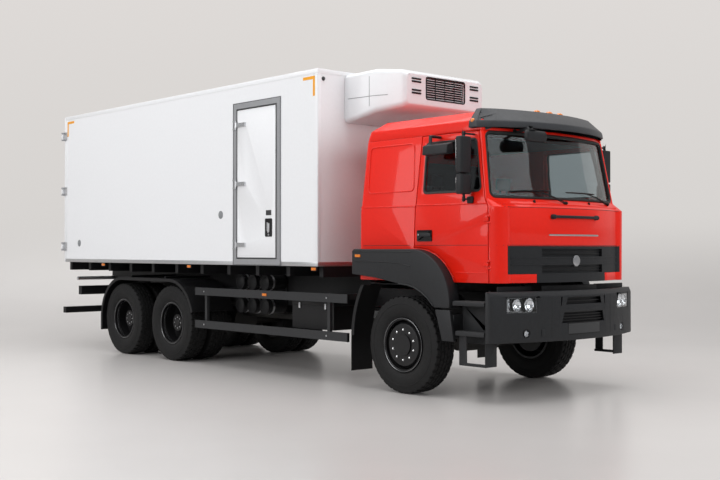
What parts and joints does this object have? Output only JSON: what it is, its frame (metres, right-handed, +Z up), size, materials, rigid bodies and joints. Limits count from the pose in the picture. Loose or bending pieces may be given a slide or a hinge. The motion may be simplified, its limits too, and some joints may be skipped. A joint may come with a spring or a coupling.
{
  "type": "refrigerated truck",
  "caption": "Rigid cab-over truck with tandem twin-tyred rear axles, an insulated box body with a side door and rear doors, and a front-wall cooling unit.",
  "frame": {"origin": "on the ground, at the middle of the vehicle's length and width", "axes": "+X forward, +Y to the vehicle's left, +Z up"},
  "size_m": [9.645, 2.66, 3.7578],
  "materials": {
    "frame_black": "satin",
    "engine_iron": "matte",
    "axle_iron": "matte",
    "tyre_rubber": "matte",
    "rim_black": "satin",
    "box_white": "gloss",
    "steel_bright": "satin",
    "frame_aluminium": "satin",
    "unit_white": "gloss",
    "cab_red": "gloss",
    "dark_plastic": "matte",
    "lamp_clear": "gloss",
    "clear_glass": "gloss",
    "trim_grey": "matte",
    "seat_fabric": "matte"
  },
  "bodies": {
    "chassis": {"chassis_frame": "frame_black", "box_subframe": "frame_black", "engine_block": "engine_iron", "driveline": "engine_iron", "front_axle_beam": "axle_iron", "leaf_springs": "axle_iron", "rear_axles": "axle_iron", "box_floor": "box_white", "box_roof": "box_white", "box_front_wall": "box_white", "box_left_wall": "box_white", "box_right_wall": "box_white", "box_rear_frame": "steel_bright", "side_door_frame": "frame_aluminium", "cooling_unit": "unit_white", "front_bumper": "dark_plastic", "front_lamps": "lamp_clear", "entry_steps": "dark_plastic", "mudguards": "dark_plastic", "side_guards": "dark_plastic", "air_tanks": "frame_black", "fuel_tank": "frame_aluminium", "battery_box": "dark_plastic", "rear_underrun": "frame_black"},
    "door_right": {"cab_door_right": "cab_red", "door_glass_right": "clear_glass", "mirrors_right": "dark_plastic"},
    "door_left": {"cab_door_left": "cab_red", "door_glass_left": "clear_glass", "mirrors_left": "dark_plastic"},
    "side_leaf": {"side_door": "box_white"},
    "rear_leaf_right": {"rear_door_right": "box_white"},
    "rear_leaf_left": {"rear_door_left": "box_white"},
    "steering_knuckle_right": {"knuckle_right": "axle_iron"},
    "steering_knuckle_left": {"knuckle_left": "axle_iron"},
    "track_rod": {"tie_rod": "axle_iron"},
    "front_wheel_right": {"front_tyre_right": "tyre_rubber", "front_rim_right": "rim_black"},
    "front_wheel_left": {"front_tyre_left": "tyre_rubber", "front_rim_left": "rim_black"},
    "rear_wheels_1_right": {"rear_tyres_1_right": "tyre_rubber", "rear_rims_1_right": "rim_black"},
    "rear_wheels_2_right": {"rear_tyres_2_right": "tyre_rubber", "rear_rims_2_right": "rim_black"},
    "rear_wheels_1_left": {"rear_tyres_1_left": "tyre_rubber", "rear_rims_1_left": "rim_black"},
    "rear_wheels_2_left": {"rear_tyres_2_left": "tyre_rubber", "rear_rims_2_left": "rim_black"},
    "cab": {"cab_rear_shell": "cab_red", "cab_front_shell": "cab_red", "cab_roof": "cab_red", "windscreen": "clear_glass", "grille_panel": "dark_plastic", "cab_floor": "dark_plastic", "sun_visor": "dark_plastic", "dashboard": "trim_grey", "seats": "seat_fabric", "front_mirror": "dark_plastic", "front_fenders": "dark_plastic"}
  },
  "joints": [
    {"name": "cab_tilt", "type": "hinge", "parent": "chassis", "child": "cab", "pos_m": [4.545, 0, 0.92], "axis": [0, 1, 0], "range_deg": [0, 50]},
    {"name": "cab_door_right_hinge", "type": "hinge", "parent": "cab", "child": "door_right", "pos_m": [4.43, -1.134, 1.6], "axis": [0, 0, 1], "range_deg": [0, 70]},
    {"name": "cab_door_left_hinge", "type": "hinge", "parent": "cab", "child": "door_left", "pos_m": [4.43, 1.134, 1.6], "axis": [0, 0, -1], "range_deg": [0, 70]},
    {"name": "side_door_hinge", "type": "hinge", "parent": "chassis", "child": "side_leaf", "pos_m": [0.242, -1.316, 2.44], "axis": [0, 0, -1], "range_deg": [0, 170]},
    {"name": "rear_door_right_hinge", "type": "hinge", "parent": "chassis", "child": "rear_leaf_right", "pos_m": [-4.646, -1.316, 2.54], "axis": [0, 0, 1], "range_deg": [0, 270]},
    {"name": "rear_door_left_hinge", "type": "hinge", "parent": "chassis", "child": "rear_leaf_left", "pos_m": [-4.646, 1.316, 2.54], "axis": [0, 0, -1], "range_deg": [0, 270]},
    {"name": "steer_right", "type": "hinge", "parent": "chassis", "child": "steering_knuckle_right", "pos_m": [3.265, -0.872, 0.538], "axis": [0, 0, 1], "range_deg": [-35, 35]},
    {"name": "steer_left", "type": "hinge", "parent": "chassis", "child": "steering_knuckle_left", "pos_m": [3.265, 0.872, 0.538], "axis": [0, 0, 1], "range_deg": [-35, 35]},
    {"name": "track_rod_pivot", "type": "hinge", "parent": "steering_knuckle_right", "child": "track_rod", "pos_m": [3.055, -0.872, 0.43], "axis": [0, 0, 1], "range_deg": [-35, 35]},
    {"name": "front_wheel_right_roll", "type": "hinge", "parent": "steering_knuckle_right", "child": "front_wheel_right", "pos_m": [3.265, -1.085, 0.538], "axis": [0, 1, 0], "continuous": true},
    {"name": "rear_wheels_1_right_roll", "type": "hinge", "parent": "chassis", "child": "rear_wheels_1_right", "pos_m": [-1.485, -0.9, 0.538], "axis": [0, 1, 0], "continuous": true},
    {"name": "rear_wheels_2_right_roll", "type": "hinge", "parent": "chassis", "child": "rear_wheels_2_right", "pos_m": [-2.835, -0.9, 0.538], "axis": [0, 1, 0], "continuous": true},
    {"name": "front_wheel_left_roll", "type": "hinge", "parent": "steering_knuckle_left", "child": "front_wheel_left", "pos_m": [3.265, 1.085, 0.538], "axis": [0, 1, 0], "continuous": true},
    {"name": "rear_wheels_1_left_roll", "type": "hinge", "parent": "chassis", "child": "rear_wheels_1_left", "pos_m": [-1.485, 0.9, 0.538], "axis": [0, 1, 0], "continuous": true},
    {"name": "rear_wheels_2_left_roll", "type": "hinge", "parent": "chassis", "child": "rear_wheels_2_left", "pos_m": [-2.835, 0.9, 0.538], "axis": [0, 1, 0], "continuous": true}
  ],
  "couplings": [
    {"joint": "steer_left", "follows": "steer_right", "ratio": 1},
    {"joint": "track_rod_pivot", "follows": "steer_right", "ratio": -1}
  ]
}
